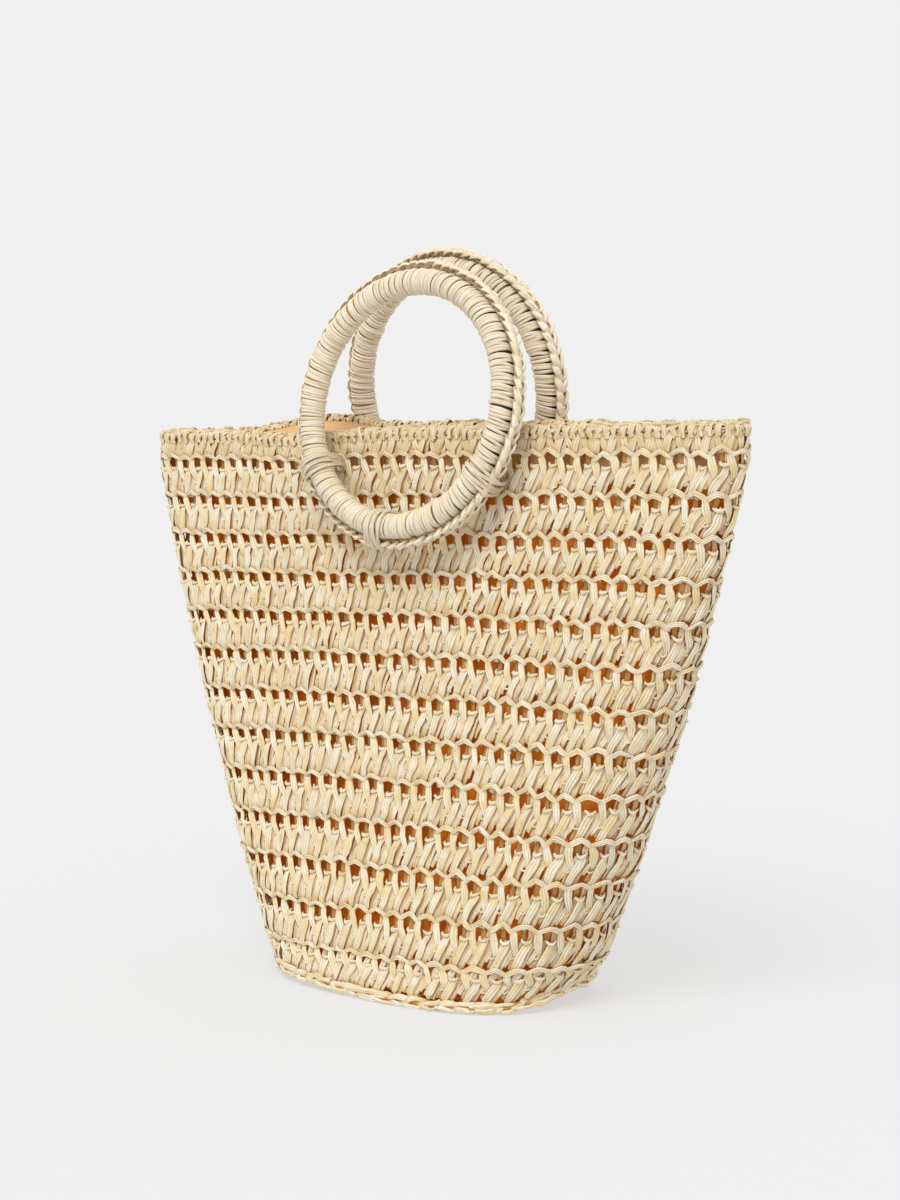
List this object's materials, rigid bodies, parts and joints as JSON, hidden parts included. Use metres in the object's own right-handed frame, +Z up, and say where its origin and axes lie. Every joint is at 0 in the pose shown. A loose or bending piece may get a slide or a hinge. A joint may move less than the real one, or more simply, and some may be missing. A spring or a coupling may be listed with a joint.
{
  "type": "straw basket bag",
  "caption": "Open-work crocheted straw tote, wide at the mouth and narrow at its oval base, with a cloth lining and round straw-wound ring handles.",
  "frame": {"origin": "middle of the oval base, on the surface that the bag stands on", "axes": "+X along the mouth, -Y towards the front, +Z up"},
  "size_m": [0.3856, 0.1204, 0.3782],
  "materials": {
    "straw_crochet": "matt paper straw, crocheted",
    "straw_winding": "matt paper straw, wound tight",
    "lining_cloth": "plain woven cloth"
  },
  "bodies": {
    "root": {"basket_wall": "straw_crochet", "rim_band": "straw_crochet", "base_panel": "straw_crochet", "base_braid": "straw_crochet", "lining": "lining_cloth", "ring_handle_front": "straw_winding", "ring_chain_front_top": "straw_winding", "ring_chain_front_below_right": "straw_winding", "ring_chain_front_below_bottom": "straw_winding", "ring_lashing_front_right": "straw_winding", "ring_lashing_front_bottom": "straw_winding", "ring_lashing_front_left": "straw_winding", "ring_handle_back": "straw_winding", "ring_chain_back_top": "straw_winding", "ring_chain_back_below_right": "straw_winding", "ring_chain_back_below_bottom": "straw_winding", "ring_lashing_back_right": "straw_winding", "ring_lashing_back_bottom": "straw_winding", "ring_lashing_back_left": "straw_winding"}
  },
  "joints": []
}
